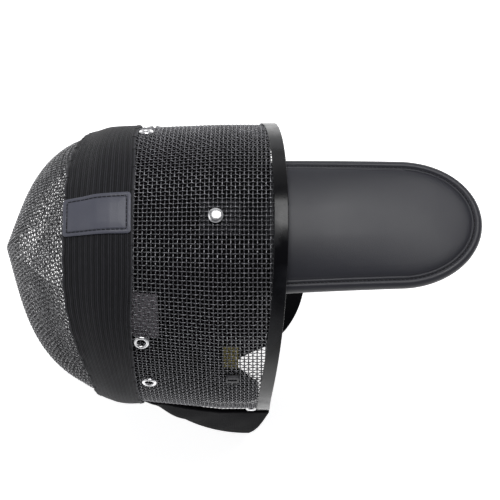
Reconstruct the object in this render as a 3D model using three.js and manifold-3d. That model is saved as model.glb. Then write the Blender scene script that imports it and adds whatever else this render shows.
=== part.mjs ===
// Fencing mask with a padded tongue, standing on its folded bib.
// Millimetres, +Z up. +X is the wearer's left, -Y is the face. The floor is Z = 0.
// Lengths along the mask are given as "forward": the distance in front of the crown's back edge.

import * as THREE from "three";
import { mergeVertices } from "three/addons/utils/BufferGeometryUtils.js";
import Module from "manifold-3d";

const wasm = await Module();
wasm.setup();

// driving dimensions
const backEdgeY = 36.7; // Y of the crown's back edge
const gap = 0.3; // between pieces that touch

const shell = {
  seamForward: 125, // where the face mesh meets the side mesh
  seamHalfWidth: 102.5,
  seamTop: 279.5,
  seamMiddle: 154, // height of the widest level at the seam
  seamDrop: 128, // from the widest level down to the chin edge
  backHalfWidth: 108,
  backTop: 283,
  backMiddle: 143,
  taperLength: 75, // length behind the seam over which the crown narrows
  creaseDepth: 0.47, // ridge down the middle of the face, as a part of its depth
  creasePower: 1.7, // how quickly the ridge fades to the sides
};

// the face's middle line, as a distance from the seam's centre at each elevation
const faceStep = 30;
const faceProfile = [
  { elevation: -90, reach: 128 },
  { elevation: -60, reach: 103.5 },
  { elevation: -30, reach: 84 },
  { elevation: 0, reach: 79 },
  { elevation: 30, reach: 100 },
  { elevation: 60, reach: 116.5 },
  { elevation: 90, reach: 125.5 },
];

const mesh = {
  wall: 1.6, lapLift: 0.9, sideFront: 132, backAngle: 110, frontAngle: 131, backInset: 1.6,
};
const rim = {
  width: 10, innerWidth: 7, wall: 1.2, lip: 1.2, angle: 102,
  sideShift: 11.5, // how far the rim's sides stand in front of its top
};
const strap = {
  back: 109, lowBack: 111.5, front: 159, lowFront: 145, lift: 3, frontLift: 1.2, wall: 1.4, angle: 134,
};
const patch = { length: 48, width: 31, wall: 1.2, centreForward: 134.5 };
const tongue = {
  frontForward: 14, tipForward: -139, frontHalfWidth: 50, halfWidth: 47.5, capLength: 60, thick: 8,
  frontHeight: 277, tipHeight: 270, frontArch: 13, tipArch: 2,
};
const spring = { halfWidth: 13, wall: 1.2, frontForward: 62, bendForward: 36, tailForward: -30, lift: -0.2 };
const padding = { lift: -2.4, wall: 7 };
const bib = {
  cloth: 2.6, lift: 3.5, strapLift: 2.2, bulge: 3, foldRadius: 4.6,
  sideTop: 109, chinTop: 62, chinTurn: 20, sideTurn: 74, topAngle: 100, footAngle: 91,
  centreForward: 30, footForward: 118, footHalfWidth: 110.5,
};
const bibTip = { centreForward: 39, centreX: -35, length: 62, halfWidth: 75, frontAngle: 60, sideAngle: 78 };
const piping = { radius: 1.9, rise: 3.2 };
const eyelet = { radius: 5.6, boreRadius: 3.2, shankRadius: 4 };
const eyeletPlaces = [
  { name: "upper", forward: 105, angle: 42.6 },
  { name: "lower", forward: 102, angle: 66.8 },
];
const tongueRivet = { radius: 5.5, height: 2.4, shankRadius: 2, forward: 51 };
const bibRivet = { radius: 4.3, height: 1.8, shankRadius: 1.6, forward: 26.2, angle: 102.8 };
const clip = { length: 9.4, width: 8.4, wall: 2.6, slotLength: 6.8, slotWidth: 1.6, forward: 40, angle: 58 };

const finishes = {
  wire: { color: 0x1c1c1f, roughness: 0.4, metalness: 0.6 },
  gloss: { color: 0x0b0b0d, roughness: 0.15, metalness: 0.1 },
  webbing: { color: 0x2a2a2c, roughness: 0.9, metalness: 0 },
  leatherette: { color: 0x44444a, roughness: 0.5, metalness: 0 },
  fabric: { color: 0x121214, roughness: 0.85, metalness: 0 },
  foam: { color: 0x0d0d0f, roughness: 0.95, metalness: 0 },
  chrome: { color: 0xd8d8dc, roughness: 0.12, metalness: 1 },
  darkSteel: { color: 0x161618, roughness: 0.45, metalness: 0.6 },
  plastic: { color: 0x202024, roughness: 0.5, metalness: 0 },
  paleCloth: { color: 0xb9b2b8, roughness: 0.9, metalness: 0 },
};

const radians = THREE.MathUtils.degToRad;
const clamp = THREE.MathUtils.clamp;
const lerp = THREE.MathUtils.lerp;
const smooth = (value, low, high) => THREE.MathUtils.smoothstep(value, low, high);

// ---- the skin: the face mesh's outer surface, carried back under the side mesh ----

function faceReach(elevation) {
  const place = clamp((elevation + 90) / faceStep, 0, faceProfile.length - 1);
  const index = Math.min(Math.floor(place), faceProfile.length - 2);
  const at = (i) => {
    const last = faceProfile.length - 1;
    if (i < 0) return 2 * faceProfile[0].reach - faceProfile[1].reach;
    if (i > last) return 2 * faceProfile[last].reach - faceProfile[last - 1].reach;
    return faceProfile[i].reach;
  };
  const [a, b, c, d] = [at(index - 1), at(index), at(index + 1), at(index + 2)];
  const t = place - index;
  const square = 2 * a - 5 * b + 4 * c - d;
  const cube = 3 * b - a - 3 * c + d;
  return b + 0.5 * ((c - a) * t + square * t ** 2 + cube * t ** 3);
}

function middleHeight(forward) {
  const back = clamp((shell.seamForward - forward) / shell.taperLength, 0, 1);
  return lerp(shell.seamMiddle, shell.backMiddle, back);
}

// below zero inside the skin, above zero outside it
function skinLevel(x, forward, height) {
  if (forward <= shell.seamForward) {
    const back = clamp((shell.seamForward - forward) / shell.taperLength, 0, 1);
    const halfWidth = lerp(shell.seamHalfWidth, shell.backHalfWidth, back);
    const middle = middleHeight(forward);
    const rise = lerp(shell.seamTop, shell.backTop, back) - middle;
    const reach = height > middle ? rise : shell.seamDrop;
    return Math.hypot(x / halfWidth, (height - middle) / reach) - 1;
  }
  const ahead = forward - shell.seamForward;
  const up = height - shell.seamMiddle;
  const elevation = Math.atan2(up, ahead);
  const across = Math.min(Math.abs(x) / shell.seamHalfWidth, 1);
  const fade = Math.cos(elevation) ** 2 * across * (1 - across) ** shell.creasePower;
  const ridge = shell.creaseDepth * fade;
  const middleReach = faceReach(THREE.MathUtils.radToDeg(elevation));
  const reach = middleReach * (1 - ridge / Math.sqrt(1.001 - across ** 2));
  return Math.hypot(x / shell.seamHalfWidth, Math.hypot(ahead, up) / reach) - 1;
}

// the first point of the skin on a straight line out of the hollow
function skinHit(start, direction) {
  const along = (distance) => ({
    x: start.x + direction.x * distance,
    forward: start.forward + direction.forward * distance,
    height: start.height + direction.height * distance,
  });
  let inside = 0;
  let outside = 320;
  for (let i = 0; i < 40; i++) {
    const half = (inside + outside) / 2;
    const { x, forward, height } = along(half);
    if (skinLevel(x, forward, height) < 0) inside = half;
    else outside = half;
  }
  return along(inside);
}

const toPoint = (place) => new THREE.Vector3(place.x, backEdgeY - place.forward, place.height);

function skinNormal(place) {
  const step = 0.5;
  const { x, forward, height } = place;
  return new THREE.Vector3(
    skinLevel(x + step, forward, height) - skinLevel(x - step, forward, height),
    skinLevel(x, forward - step, height) - skinLevel(x, forward + step, height),
    skinLevel(x, forward, height + step) - skinLevel(x, forward, height - step),
  ).normalize();
}

const lifted = (place, lift) => toPoint(place).addScaledVector(skinNormal(place), lift);

// a place on the skin by its angle from the top, seen from the front, and its forward distance
function ringPlace(angle, forward) {
  const turn = radians(angle);
  const start = { x: 0, forward, height: middleHeight(forward) };
  return skinHit(start, { x: Math.sin(turn), forward: 0, height: Math.cos(turn) });
}

const rimForward = (angle) => rim.sideShift * Math.sin(radians(clamp(angle, -90, 90))) ** 2;

// ---- closed solids from grids of points ----

function solidFromFaces(points, faces) {
  let volume = 0;
  for (const [a, b, c] of faces) {
    volume += points[a].dot(new THREE.Vector3().crossVectors(points[b], points[c]));
  }
  const index = faces.flatMap(([a, b, c]) => (volume > 0 ? [a, b, c] : [a, c, b]));
  const geometry = new THREE.BufferGeometry();
  geometry.setAttribute("position", new THREE.Float32BufferAttribute(points.flatMap((p) => p.toArray()), 3));
  geometry.setIndex(index);
  return geometry;
}

// pointAt(u, v, side) with u and v from 0 to 1; side is 1 on the outer face and 0 on the inner one
function sheetSolid(columns, rows, pointAt) {
  const points = [];
  const faces = [];
  const id = (i, j, side) => (side * (columns + 1) + i) * (rows + 1) + j;
  for (const side of [0, 1]) {
    for (let i = 0; i <= columns; i++) {
      for (let j = 0; j <= rows; j++) points.push(pointAt(i / columns, j / rows, side));
    }
  }
  const quad = (a, b, c, d) => faces.push([a, b, c], [a, c, d]);
  for (let i = 0; i < columns; i++) {
    for (let j = 0; j < rows; j++) {
      quad(id(i, j, 1), id(i + 1, j, 1), id(i + 1, j + 1, 1), id(i, j + 1, 1));
      quad(id(i, j, 0), id(i, j + 1, 0), id(i + 1, j + 1, 0), id(i + 1, j, 0));
    }
    quad(id(i, 0, 0), id(i + 1, 0, 0), id(i + 1, 0, 1), id(i, 0, 1));
    quad(id(i, rows, 1), id(i + 1, rows, 1), id(i + 1, rows, 0), id(i, rows, 0));
  }
  for (let j = 0; j < rows; j++) {
    quad(id(0, j, 1), id(0, j + 1, 1), id(0, j + 1, 0), id(0, j, 0));
    quad(id(columns, j, 0), id(columns, j + 1, 0), id(columns, j + 1, 1), id(columns, j, 1));
  }
  return solidFromFaces(points, faces);
}

function asManifold(geometry) {
  const plain = geometry.clone();
  plain.deleteAttribute("normal");
  plain.deleteAttribute("uv");
  const merged = mergeVertices(plain, 1e-4);
  return new wasm.Manifold(new wasm.Mesh({
    numProp: 3,
    vertProperties: merged.attributes.position.array,
    triVerts: Uint32Array.from(merged.index.array),
  }));
}

function cut(geometry, tools) {
  let solid = asManifold(geometry);
  for (const tool of tools) solid = solid.subtract(asManifold(tool));
  const result = solid.getMesh();
  const cutGeometry = new THREE.BufferGeometry();
  cutGeometry.setAttribute("position", new THREE.BufferAttribute(result.vertProperties, 3));
  cutGeometry.setIndex(new THREE.BufferAttribute(result.triVerts, 1));
  return cutGeometry;
}

// moves a piece that was made around +Y to a place on the skin, with its +Y pointing outwards
function onSkin(geometry, place, lift) {
  const normal = skinNormal(place);
  const turn = new THREE.Quaternion().setFromUnitVectors(new THREE.Vector3(0, 1, 0), normal);
  const at = toPoint(place).addScaledVector(normal, lift);
  return geometry.clone().applyQuaternion(turn).translate(at.x, at.y, at.z);
}

const group = new THREE.Group();

function add(name, geometry, finish) {
  geometry.computeVertexNormals();
  const piece = new THREE.Mesh(geometry, new THREE.MeshStandardMaterial(finishes[finish]));
  piece.name = name;
  group.add(piece);
}

// ---- places of the fastenings ----

const sides = [{ name: "left", sign: 1 }, { name: "right", sign: -1 }];
const meshOuter = mesh.lapLift + mesh.wall;
const tongueRivetPlace = ringPlace(0, tongueRivet.forward);
const eyelets = sides.flatMap((side) => eyeletPlaces.map((spot) => ({
  name: `temple_eyelet_${side.name}_${spot.name}`, place: ringPlace(side.sign * spot.angle, spot.forward),
})));
const bibRivets = sides.map((side) => ({
  name: `bib_rivet_${side.name}`, place: ringPlace(side.sign * bibRivet.angle, bibRivet.forward),
}));

const holeLength = 14;
const hole = (radius) => new THREE.CylinderGeometry(radius + gap, radius + gap, holeLength, 12);

// ---- wire mesh basket ----

function faceMesh() {
  const columns = 48;
  const rings = 12;
  const edgeTilt = 1.5;
  const points = [];
  const faces = [];
  const centre = { x: 0, forward: shell.seamForward, height: shell.seamMiddle };
  const id = (i, j, side) => 2 + (side * rings + j) * columns + (i % columns);
  for (const side of [0, 1]) {
    points.push(lifted(skinHit(centre, { x: 0, forward: 1, height: 0 }), (side - 1) * mesh.wall));
  }
  for (const side of [0, 1]) {
    for (let j = 0; j < rings; j++) {
      const tilt = radians((90 + edgeTilt) * (1 - j / rings));
      for (let i = 0; i < columns; i++) {
        const turn = (2 * Math.PI * i) / columns;
        const out = Math.sin(tilt);
        const direction = { x: Math.sin(turn) * out, forward: Math.cos(tilt), height: Math.cos(turn) * out };
        points.push(lifted(skinHit(centre, direction), (side - 1) * mesh.wall));
      }
    }
  }
  for (let i = 0; i < columns; i++) {
    faces.push([1, id(i, rings - 1, 1), id(i + 1, rings - 1, 1)]);
    faces.push([0, id(i + 1, rings - 1, 0), id(i, rings - 1, 0)]);
    faces.push([id(i, 0, 1), id(i, 0, 0), id(i + 1, 0, 0)], [id(i, 0, 1), id(i + 1, 0, 0), id(i + 1, 0, 1)]);
    for (let j = 0; j < rings - 1; j++) {
      const [a, b, c, d] = [id(i, j, 1), id(i + 1, j, 1), id(i + 1, j + 1, 1), id(i, j + 1, 1)];
      const [e, f, g, h] = [id(i, j, 0), id(i + 1, j, 0), id(i + 1, j + 1, 0), id(i, j + 1, 0)];
      faces.push([a, b, c], [a, c, d], [e, g, f], [e, h, g]);
    }
  }
  return solidFromFaces(points, faces);
}

function sideMesh() {
  const wall = sheetSolid(48, 10, (u, v, side) => {
    const lowest = lerp(mesh.backAngle, mesh.frontAngle, smooth(v, 0.4, 0.9));
    const angle = lerp(-lowest, lowest, u);
    const forward = lerp(rimForward(angle) + mesh.backInset, mesh.sideFront, v);
    return lifted(ringPlace(angle, forward), mesh.lapLift + side * mesh.wall);
  });
  const holes = [
    onSkin(hole(tongueRivet.shankRadius), tongueRivetPlace, 0),
    ...eyelets.map(({ place }) => onSkin(hole(eyelet.shankRadius), place, 0)),
    ...bibRivets.map(({ place }) => onSkin(hole(bibRivet.shankRadius), place, 0)),
  ];
  return cut(wall, holes);
}

// ---- rim: a channel folded round the side mesh's back edge ----

function rimChannel() {
  const inner = -rim.wall;
  const outer = meshOuter + gap;
  // forward distance from the rim's back edge, height above the skin
  const section = [
    [0, inner], [rim.innerWidth, inner], [rim.innerWidth, 0], [rim.lip, 0],
    [rim.lip, outer], [rim.width, outer], [rim.width, outer + rim.wall], [0, outer + rim.wall],
  ];
  const stations = 48;
  const points = [];
  const faces = [];
  for (let i = 0; i <= stations; i++) {
    const angle = lerp(-rim.angle, rim.angle, i / stations);
    for (const [along, lift] of section) {
      points.push(lifted(ringPlace(angle, rimForward(angle) + along), lift));
    }
  }
  const count = section.length;
  for (let i = 0; i < stations; i++) {
    for (let j = 0; j < count; j++) {
      const [a, b] = [i * count + j, i * count + ((j + 1) % count)];
      faces.push([a, b, b + count], [a, b + count, a + count]);
    }
  }
  const outline = section.map(([along, lift]) => new THREE.Vector2(along, lift));
  const end = stations * count;
  for (const [a, b, c] of THREE.ShapeUtils.triangulateShape(outline, [])) {
    faces.push([a, c, b], [end + a, end + b, end + c]);
  }
  return solidFromFaces(points, faces);
}

// ---- elastic band over the seam, with its stitched patch ----

function strapForward(angle, v) {
  const front = lerp(strap.front, strap.lowFront, smooth(Math.abs(angle), 20, 80));
  const back = lerp(strap.back, strap.lowBack, smooth(Math.abs(angle), 15, 38));
  return lerp(back, front, v);
}

function strapLift(forward) {
  return lerp(strap.lift, strap.frontLift, smooth(forward, mesh.sideFront + 1, mesh.sideFront + 16));
}

function elasticStrap() {
  return sheetSolid(40, 6, (u, v, side) => {
    const angle = lerp(-strap.angle, strap.angle, u);
    const forward = strapForward(angle, v);
    return lifted(ringPlace(angle, forward), strapLift(forward) + side * strap.wall);
  });
}

function strapPatch() {
  const radius = shell.seamTop - shell.seamMiddle;
  const halfAngle = THREE.MathUtils.radToDeg(patch.width / 2 / radius);
  return sheetSolid(8, 8, (u, v, side) => {
    const angle = lerp(-halfAngle, halfAngle, u);
    const forward = patch.centreForward + (v - 0.5) * patch.length;
    const lift = strapLift(forward) + strap.wall + gap + side * patch.wall;
    return lifted(ringPlace(angle, forward), lift);
  });
}

// ---- tongue with its steel spring ----

function tongueTop(x, forward) {
  const along = (tongue.frontForward - forward) / (tongue.frontForward - tongue.tipForward);
  const arch = lerp(tongue.frontArch, tongue.tipArch, along);
  return lerp(tongue.frontHeight, tongue.tipHeight, along ** 2) - arch * (x / tongue.halfWidth) ** 2;
}

function springPoint(u, forward, lift) {
  const x = lerp(-spring.halfWidth, spring.halfWidth, u);
  const roof = skinHit({ x, forward, height: 200 }, { x: 0, forward: 0, height: 1 }).height + spring.lift;
  const pocket = tongueTop(x, Math.min(forward, tongue.frontForward)) - tongue.thick / 2;
  const height = lerp(pocket, roof - spring.wall, smooth(forward, tongue.frontForward, spring.bendForward));
  return toPoint({ x, forward, height: height + lift });
}

function tongueSpring() {
  const strip = sheetSolid(4, 22, (u, v, side) => {
    const forward = lerp(spring.tailForward, spring.frontForward, v);
    return springPoint(u, forward, side * spring.wall);
  });
  return cut(strip, [onSkin(hole(tongueRivet.shankRadius), tongueRivetPlace, 0)]);
}

function tonguePad() {
  const straightRows = 8;
  const capRows = 10;
  const rows = straightRows + capRows;
  const capStart = tongue.tipForward + tongue.capLength;
  const pad = sheetSolid(12, rows, (u, v, side) => {
    const row = v * rows;
    const capTurn = (clamp(row - straightRows, 0, capRows) / capRows) * radians(87);
    const straight = Math.min(row / straightRows, 1);
    const forward = lerp(tongue.frontForward, capStart, straight) - tongue.capLength * Math.sin(capTurn);
    const sideWidth = lerp(tongue.frontHalfWidth, tongue.halfWidth, straight);
    const halfWidth = sideWidth * Math.cos(capTurn);
    const across = 2 * u - 1;
    const x = halfWidth * Math.sin((across * Math.PI) / 2);
    const fromEdge = Math.min(sideWidth - Math.abs(x), forward - tongue.tipForward);
    const halfThick = (tongue.thick / 2) * (0.35 + 0.65 * Math.sqrt(clamp(fromEdge / 4, 0, 1)));
    const height = tongueTop(x, forward) - tongue.thick / 2 + (2 * side - 1) * halfThick;
    return toPoint({ x, forward, height });
  });
  const pocket = sheetSolid(4, 8, (u, v, side) => {
    const forward = lerp(spring.tailForward - gap, tongue.frontForward + 1, v);
    const point = springPoint(u, forward, lerp(-gap, spring.wall + gap, side));
    point.x += (2 * u - 1) * gap;
    return point;
  });
  return cut(pad, [pocket]);
}

// ---- padding inside the crown and at the cheeks ----

function paddingSheet(columns, rows, placeAt) {
  return sheetSolid(columns, rows, (u, v, side) => {
    const { angle, forward, dip = 0 } = placeAt(u, v);
    return lifted(ringPlace(angle, forward), padding.lift - dip - (1 - side) * padding.wall);
  });
}

// the crown pad dips under the spring on its way to the tongue's front end
function crownPad() {
  const pad = { halfAngle: 42.4, back: 14.8, front: 114, springDip: 8.4 };
  return paddingSheet(34, 16, (u, v) => {
    const angle = lerp(-pad.halfAngle, pad.halfAngle, u);
    const forward = lerp(pad.back, pad.front, v);
    const ahead = smooth(forward, tongue.frontForward, spring.bendForward);
    const away = Math.max(ahead, smooth(Math.abs(angle), 7, 10));
    return { angle, forward, dip: pad.springDip * (1 - away) };
  });
}

function cheekPad(sign) {
  const pad = { topAngle: 42.6, lowAngle: 106, front: 116, topBack: 42, lowBack: 20.5 };
  return paddingSheet(16, 5, (u, v) => {
    const angle = lerp(pad.topAngle, pad.lowAngle, u);
    const back = lerp(pad.topBack, pad.lowBack, clamp((angle - 53) / 17, 0, 1));
    return { angle: sign * angle, forward: lerp(back, pad.front, v) };
  });
}

// a plain pale strip of cloth sewn on the crown pad's left front corner
function liningTab() {
  const tab = { lift: -1.9, wall: 0.8, back: 92.5, front: 112.5, topAngle: 24.5, lowAngle: 41.5 };
  return sheetSolid(4, 3, (u, v, side) => lifted(
    ringPlace(lerp(tab.topAngle, tab.lowAngle, u), lerp(tab.back, tab.front, v)), tab.lift + side * tab.wall,
  ));
}

// ---- bib: a skirt round the jaw, folded back under the mask to a rounded tip ----

function bibTopPlace(turn) {
  const height = lerp(bib.chinTop, bib.sideTop, smooth(Math.abs(turn), bib.chinTurn, bib.sideTurn));
  const direction = { x: Math.sin(radians(turn)), forward: Math.cos(radians(turn)), height: 0 };
  return skinHit({ x: 0, forward: bib.centreForward, height }, direction);
}

// the cloth stands further out where it covers the strap's ends
function bibLift(place) {
  const overStrap = smooth(place.forward, 96, 106) * (1 - smooth(place.forward, 150, 162));
  return bib.lift + bib.strapLift * overStrap;
}

function bibFoot(turn) {
  const angle = radians((turn * bib.footAngle) / bib.topAngle);
  return new THREE.Vector2(
    bib.footHalfWidth * Math.sin(angle), bib.centreForward + bib.footForward * Math.cos(angle),
  );
}

// where the folded cloth ends on the floor: the tip's outline, then a narrow hem at the sides
function bibEnd(turn, start) {
  const side = Math.sign(turn) || 1;
  const tipTurn = radians(clamp(turn / bibTip.frontAngle, -1, 1) * 90);
  const tip = new THREE.Vector2(
    bibTip.centreX + bibTip.halfWidth * Math.sin(tipTurn),
    bibTip.centreForward - bibTip.length * Math.cos(tipTurn),
  );
  const hem = new THREE.Vector2(start.x - side * 5, start.y);
  return tip.lerp(hem, smooth(Math.abs(turn), bibTip.frontAngle, bibTip.sideAngle));
}

const bibRows = { skirt: 6, fold: 4, floor: 7 };

// the middle of the cloth's thickness; the row runs from the top edge to the end on the floor
function bibMiddle(turn, row) {
  const halfCloth = bib.cloth / 2;
  const foot = bibFoot(turn);
  if (row <= bibRows.skirt) {
    const top = bibTopPlace(turn);
    const topPoint = lifted(top, bibLift(top) + halfCloth);
    const footPoint = toPoint({ x: foot.x, forward: foot.y, height: halfCloth + bib.foldRadius });
    const t = row / bibRows.skirt;
    const out = new THREE.Vector3(Math.sin(radians(turn)), -Math.cos(radians(turn)), 0);
    return topPoint.lerp(footPoint, t).addScaledVector(out, bib.bulge * Math.sin(Math.PI * t));
  }
  const footTurn = radians((turn * bib.footAngle) / bib.topAngle);
  const inward = new THREE.Vector2(-Math.sin(footTurn), -Math.cos(footTurn));
  const fold = (Math.min(row - bibRows.skirt, bibRows.fold) / bibRows.fold) * (Math.PI / 2);
  const inset = foot.addScaledVector(inward, bib.foldRadius * (1 - Math.cos(fold)));
  const height = halfCloth + bib.foldRadius * (1 - Math.sin(fold));
  const t = Math.max(row - bibRows.skirt - bibRows.fold, 0) / bibRows.floor;
  const at = inset.lerp(bibEnd(turn, inset), t);
  return toPoint({ x: at.x, forward: at.y, height });
}

function bibCloth() {
  const rows = bibRows.skirt + bibRows.fold + bibRows.floor;
  return sheetSolid(40, rows, (u, v, side) => {
    const turn = lerp(-bib.topAngle, bib.topAngle, u);
    const row = v * rows;
    const middle = bibMiddle(turn, row);
    if (row > bibRows.skirt + bibRows.fold - 0.5) {
      return middle.add(new THREE.Vector3(0, 0, (0.5 - side) * bib.cloth));
    }
    const step = 0.05;
    const down = bibMiddle(turn, row + step).sub(bibMiddle(turn, Math.max(row - step, 0)));
    const round = bibMiddle(turn + step, row).sub(bibMiddle(turn - step, row));
    const normal = new THREE.Vector3().crossVectors(down, round).normalize();
    return middle.addScaledVector(normal, (side - 0.5) * bib.cloth);
  });
}

function bibPiping() {
  const stations = [];
  const steps = 30;
  for (let i = 0; i <= steps; i++) {
    const turn = lerp(-bib.topAngle + 1, bib.topAngle - 1, i / steps);
    const edge = bibMiddle(turn, 0);
    const out = skinNormal(bibTopPlace(turn));
    const up = edge.clone().sub(bibMiddle(turn, 0.2));
    up.addScaledVector(out, Math.max(0, -up.dot(out))).normalize();
    stations.push(edge.addScaledVector(up, piping.rise));
  }
  const round = new THREE.Shape().absarc(0, 0, piping.radius, 0, 2 * Math.PI);
  return new THREE.ExtrudeGeometry(round, {
    steps: 36, curveSegments: 4, bevelEnabled: false, extrudePath: new THREE.CatmullRomCurve3(stations),
  });
}

// ---- metal fastenings and the plastic clip ----

function turned(profile, segments) {
  const outline = profile.map(([radius, height]) => new THREE.Vector2(radius, height));
  return new THREE.LatheGeometry(outline, segments);
}

// a domed head outside, a shank through the wall and a flat tail inside; heights from the wall's outer face
function rivet({ radius, height, shankRadius }, wall, tailWall) {
  const tail = -wall - gap;
  const tailRadius = shankRadius + 1.2;
  return turned([
    [0, tail - tailWall], [tailRadius, tail - tailWall], [tailRadius, tail], [shankRadius, tail],
    [shankRadius, gap], [radius, gap], [radius, gap + height * 0.3], [radius * 0.75, gap + height * 0.78],
    [radius * 0.4, gap + height * 0.96], [0, gap + height],
  ], 12);
}

function eyeletRing() {
  const { radius, boreRadius, shankRadius } = eyelet;
  const tail = -mesh.wall - gap;
  const tailEnd = tail - 0.8;
  return turned([
    [boreRadius, tailEnd], [shankRadius + 1, tailEnd], [shankRadius + 1, tail], [shankRadius, tail],
    [shankRadius, gap], [radius, gap], [radius - 0.2, gap + 0.7], [radius - 1, gap + 1.3],
    [boreRadius + 0.5, gap + 1.1], [boreRadius, gap + 0.4], [boreRadius, tailEnd],
  ], 14);
}

function strapClip() {
  const outline = new THREE.Shape();
  const [halfLength, halfWidth] = [clip.length / 2, clip.width / 2];
  outline.moveTo(-halfLength, -halfWidth).lineTo(halfLength, -halfWidth);
  outline.lineTo(halfLength, halfWidth).lineTo(-halfLength, halfWidth).closePath();
  const slot = new THREE.Path();
  const [halfSlot, halfSlotWidth] = [clip.slotLength / 2, clip.slotWidth / 2];
  slot.moveTo(-halfSlot, -halfSlotWidth).lineTo(-halfSlot, halfSlotWidth);
  slot.lineTo(halfSlot, halfSlotWidth).lineTo(halfSlot, -halfSlotWidth).closePath();
  outline.holes.push(slot);
  const body = new THREE.ExtrudeGeometry(outline, { depth: clip.wall, bevelEnabled: false });
  const place = ringPlace(clip.angle, clip.forward);
  const normal = skinNormal(place);
  const along = new THREE.Vector3(0, 1, 0).addScaledVector(normal, -normal.y).normalize();
  const across = new THREE.Vector3().crossVectors(normal, along);
  const at = lifted(place, meshOuter + gap);
  return body.applyMatrix4(new THREE.Matrix4().makeBasis(along, across, normal).setPosition(at));
}

// ---- the assembly ----

add("face_mesh", faceMesh(), "wire");
add("side_mesh", sideMesh(), "wire");
add("rim", rimChannel(), "gloss");
add("elastic_strap", elasticStrap(), "webbing");
add("strap_patch", strapPatch(), "leatherette");
add("tongue", tonguePad(), "leatherette");
add("tongue_spring", tongueSpring(), "darkSteel");
add("crown_pad", crownPad(), "foam");
for (const side of sides) add(`cheek_pad_${side.name}`, cheekPad(side.sign), "foam");
add("lining_tab", liningTab(), "paleCloth");
add("bib", bibCloth(), "fabric");
add("bib_piping", bibPiping(), "fabric");
const springStack = mesh.wall + mesh.lapLift - spring.lift + spring.wall;
add("tongue_rivet", onSkin(rivet(tongueRivet, springStack, 0.6), tongueRivetPlace, meshOuter), "chrome");
for (const { name, place } of eyelets) add(name, onSkin(eyeletRing(), place, meshOuter), "chrome");
for (const { name, place } of bibRivets) {
  add(name, onSkin(rivet(bibRivet, mesh.wall, 0.6), place, meshOuter), "chrome");
}
add("strap_clip", strapClip(), "plastic");

export default group;
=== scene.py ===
import math

import bpy
import numpy as np
from mathutils import Matrix, Vector


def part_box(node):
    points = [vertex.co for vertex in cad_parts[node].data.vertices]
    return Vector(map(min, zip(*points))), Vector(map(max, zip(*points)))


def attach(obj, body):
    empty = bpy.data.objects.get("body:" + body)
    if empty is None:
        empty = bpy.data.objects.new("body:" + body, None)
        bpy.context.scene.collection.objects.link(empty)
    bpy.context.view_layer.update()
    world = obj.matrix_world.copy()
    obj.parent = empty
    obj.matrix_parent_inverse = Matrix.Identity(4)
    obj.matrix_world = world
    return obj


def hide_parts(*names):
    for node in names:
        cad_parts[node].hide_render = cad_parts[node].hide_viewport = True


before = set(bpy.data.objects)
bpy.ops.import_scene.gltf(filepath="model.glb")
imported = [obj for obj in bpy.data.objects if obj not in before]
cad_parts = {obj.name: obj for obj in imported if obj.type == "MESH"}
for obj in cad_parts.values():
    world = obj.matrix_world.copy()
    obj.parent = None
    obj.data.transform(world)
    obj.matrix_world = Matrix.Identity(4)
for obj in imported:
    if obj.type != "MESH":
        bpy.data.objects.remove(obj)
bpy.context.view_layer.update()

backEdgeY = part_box("rim")[1].y      # the crown's back edge; "forward" is measured from here towards the face

# the mask's skin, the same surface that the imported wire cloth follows

shell = {
    "seamForward": 0.125,           # where the face mesh meets the side mesh
    "seamHalfWidth": 0.1025,
    "seamTop": 0.2795,
    "seamMiddle": 0.154,
    "seamDrop": 0.128,
    "backHalfWidth": 0.108,
    "backTop": 0.283,
    "backMiddle": 0.143,
    "taperLength": 0.075,
    "creaseDepth": 0.47,
    "creasePower": 1.7,
}
faceReachStep = 30                  # degrees of elevation between the reaches below
faceReaches = np.array([0.128, 0.1035, 0.084, 0.079, 0.100, 0.1165, 0.1255])


def smooth(value, low, high):
    share = np.clip((np.asarray(value, float) - low) / (high - low), 0, 1)
    return share * share * (3 - 2 * share)


def lerp(first, second, share):
    return first + (second - first) * share


def faceReach(elevation):           # a smooth curve through the reaches
    before = 2 * faceReaches[0] - faceReaches[1]
    after = 2 * faceReaches[-1] - faceReaches[-2]
    reaches = np.concatenate([[before], faceReaches, [after]])
    place = np.clip((elevation + 90) / faceReachStep, 0, len(faceReaches) - 1)
    index = np.minimum(place.astype(int), len(faceReaches) - 2)
    a, b, c, d = (reaches[index + i] for i in range(4))
    t = place - index
    square = 2 * a - 5 * b + 4 * c - d
    cube = 3 * b - a - 3 * c + d
    return b + 0.5 * ((c - a) * t + square * t**2 + cube * t**3)


def backShare(forward):
    return np.clip((shell["seamForward"] - forward) / shell["taperLength"], 0, 1)


def middleHeight(forward):
    return lerp(shell["seamMiddle"], shell["backMiddle"], backShare(forward))


def skinLevel(x, forward, height):  # below zero inside the skin, above zero outside
    back = backShare(forward)
    halfWidth = lerp(shell["seamHalfWidth"], shell["backHalfWidth"], back)
    middle = middleHeight(forward)
    rise = lerp(shell["seamTop"], shell["backTop"], back) - middle
    reach = np.where(height > middle, rise, shell["seamDrop"])
    side = np.hypot(x / halfWidth, (height - middle) / reach) - 1
    ahead = np.maximum(forward - shell["seamForward"], 0)
    up = height - shell["seamMiddle"]
    elevation = np.arctan2(up, ahead)
    across = np.minimum(np.abs(x) / shell["seamHalfWidth"], 1)
    fade = np.cos(elevation) ** 2 * across * (1 - across) ** shell["creasePower"]
    depth = faceReach(np.degrees(elevation)) * (1 - shell["creaseDepth"] * fade / np.sqrt(1.001 - across**2))
    face = np.hypot(x / shell["seamHalfWidth"], np.hypot(ahead, up) / depth) - 1
    return np.where(forward <= shell["seamForward"], side, face)


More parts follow.
